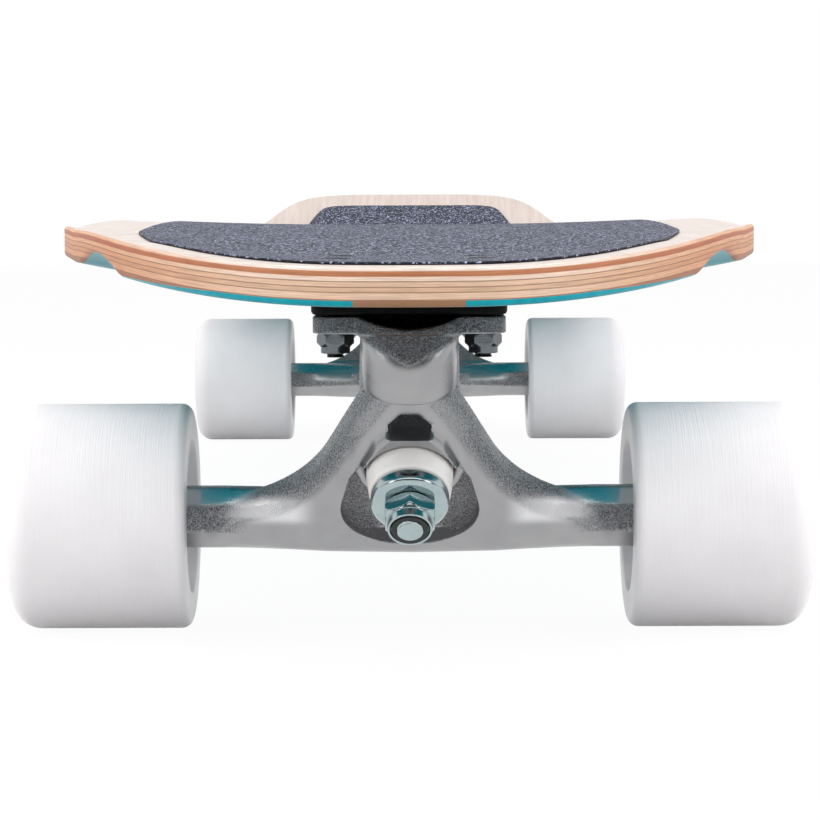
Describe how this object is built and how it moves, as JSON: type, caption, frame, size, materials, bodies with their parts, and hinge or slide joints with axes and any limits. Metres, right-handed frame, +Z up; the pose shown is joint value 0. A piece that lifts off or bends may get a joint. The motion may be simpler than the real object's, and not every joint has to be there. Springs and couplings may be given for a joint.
{
  "type": "longboard skateboard",
  "caption": "Kicktail longboard: laminated deck with a grip sheet, reverse kingpin trucks that steer on bushings, and soft wheels turning on ball bearings.",
  "frame": {"origin": "on the ground under the middle of the deck's length and width", "axes": "+Z up from the ground, -Y towards the round nose, +Y towards the kicktail, X along the axles"},
  "size_m": [0.24, 0.933, 0.1329],
  "materials": {
    "maple_deck": "laminated maple veneers, clear on top, teal stain underneath",
    "grip_sheet": "sharp abrasive grit on a black sheet",
    "riser": "smooth black rubber",
    "cast_alloy": "cast and tumbled, satin",
    "zinc_steel": "bright zinc plate",
    "cup_plastic": "moulded urethane",
    "bushing_urethane": "translucent ivory urethane",
    "wheel_urethane": "matte white poured urethane",
    "core_plastic": "moulded nylon"
  },
  "bodies": {
    "root": {"deck": "maple_deck", "grip_tape": "grip_sheet", "front_riser_pad": "riser", "front_baseplate": "cast_alloy", "front_pivot_cup": "cup_plastic", "front_kingpin": "zinc_steel", "front_kingpin_nut": "zinc_steel", "front_boardside_bushing": "bushing_urethane", "front_roadside_bushing": "bushing_urethane", "front_boardside_washer": "zinc_steel", "front_roadside_washer": "zinc_steel", "front_outer_left_bolt": "zinc_steel", "front_outer_left_nut": "zinc_steel", "front_outer_right_bolt": "zinc_steel", "front_outer_right_nut": "zinc_steel", "front_inner_left_bolt": "zinc_steel", "front_inner_left_nut": "zinc_steel", "front_inner_right_bolt": "zinc_steel", "front_inner_right_nut": "zinc_steel", "rear_riser_pad": "riser", "rear_baseplate": "cast_alloy", "rear_pivot_cup": "cup_plastic", "rear_kingpin": "zinc_steel", "rear_kingpin_nut": "zinc_steel", "rear_boardside_bushing": "bushing_urethane", "rear_roadside_bushing": "bushing_urethane", "rear_boardside_washer": "zinc_steel", "rear_roadside_washer": "zinc_steel", "rear_outer_left_bolt": "zinc_steel", "rear_outer_left_nut": "zinc_steel", "rear_outer_right_bolt": "zinc_steel", "rear_outer_right_nut": "zinc_steel", "rear_inner_left_bolt": "zinc_steel", "rear_inner_left_nut": "zinc_steel", "rear_inner_right_bolt": "zinc_steel", "rear_inner_right_nut": "zinc_steel"},
    "front_truck_hanger": {"front_hanger": "cast_alloy", "front_axle": "zinc_steel", "front_left_axle_nut": "zinc_steel", "front_right_axle_nut": "zinc_steel"},
    "front_left_wheel": {"front_left_tyre": "wheel_urethane", "front_left_wheel_core": "core_plastic", "front_left_inner_bearing": "zinc_steel", "front_left_outer_bearing": "zinc_steel"},
    "front_right_wheel": {"front_right_tyre": "wheel_urethane", "front_right_wheel_core": "core_plastic", "front_right_inner_bearing": "zinc_steel", "front_right_outer_bearing": "zinc_steel"},
    "rear_truck_hanger": {"rear_hanger": "cast_alloy", "rear_axle": "zinc_steel", "rear_left_axle_nut": "zinc_steel", "rear_right_axle_nut": "zinc_steel"},
    "rear_left_wheel": {"rear_left_tyre": "wheel_urethane", "rear_left_wheel_core": "core_plastic", "rear_left_inner_bearing": "zinc_steel", "rear_left_outer_bearing": "zinc_steel"},
    "rear_right_wheel": {"rear_right_tyre": "wheel_urethane", "rear_right_wheel_core": "core_plastic", "rear_right_inner_bearing": "zinc_steel", "rear_right_outer_bearing": "zinc_steel"}
  },
  "joints": [
    {"name": "front_truck_steer", "type": "hinge", "parent": "root", "child": "front_truck_hanger", "pos_m": [0, -0.37548, 0.05304], "axis": [0, -0.6428, 0.766], "range_deg": [-14, 14], "stiffness_Nm_per_rad": 90, "deforming": ["front_boardside_bushing", "front_roadside_bushing"]},
    {"name": "front_left_wheel_spin", "type": "hinge", "parent": "front_truck_hanger", "child": "front_left_wheel", "pos_m": [-0.0885, -0.3525, 0.0325], "axis": [1, 0, 0], "continuous": true},
    {"name": "front_right_wheel_spin", "type": "hinge", "parent": "front_truck_hanger", "child": "front_right_wheel", "pos_m": [0.0885, -0.3525, 0.0325], "axis": [1, 0, 0], "continuous": true},
    {"name": "rear_truck_steer", "type": "hinge", "parent": "root", "child": "rear_truck_hanger", "pos_m": [0, 0.33048, 0.05304], "axis": [0, 0.6428, 0.766], "range_deg": [-14, 14], "stiffness_Nm_per_rad": 90, "deforming": ["rear_boardside_bushing", "rear_roadside_bushing"]},
    {"name": "rear_left_wheel_spin", "type": "hinge", "parent": "rear_truck_hanger", "child": "rear_left_wheel", "pos_m": [-0.0885, 0.3075, 0.0325], "axis": [1, 0, 0], "continuous": true},
    {"name": "rear_right_wheel_spin", "type": "hinge", "parent": "rear_truck_hanger", "child": "rear_right_wheel", "pos_m": [0.0885, 0.3075, 0.0325], "axis": [1, 0, 0], "continuous": true}
  ]
}
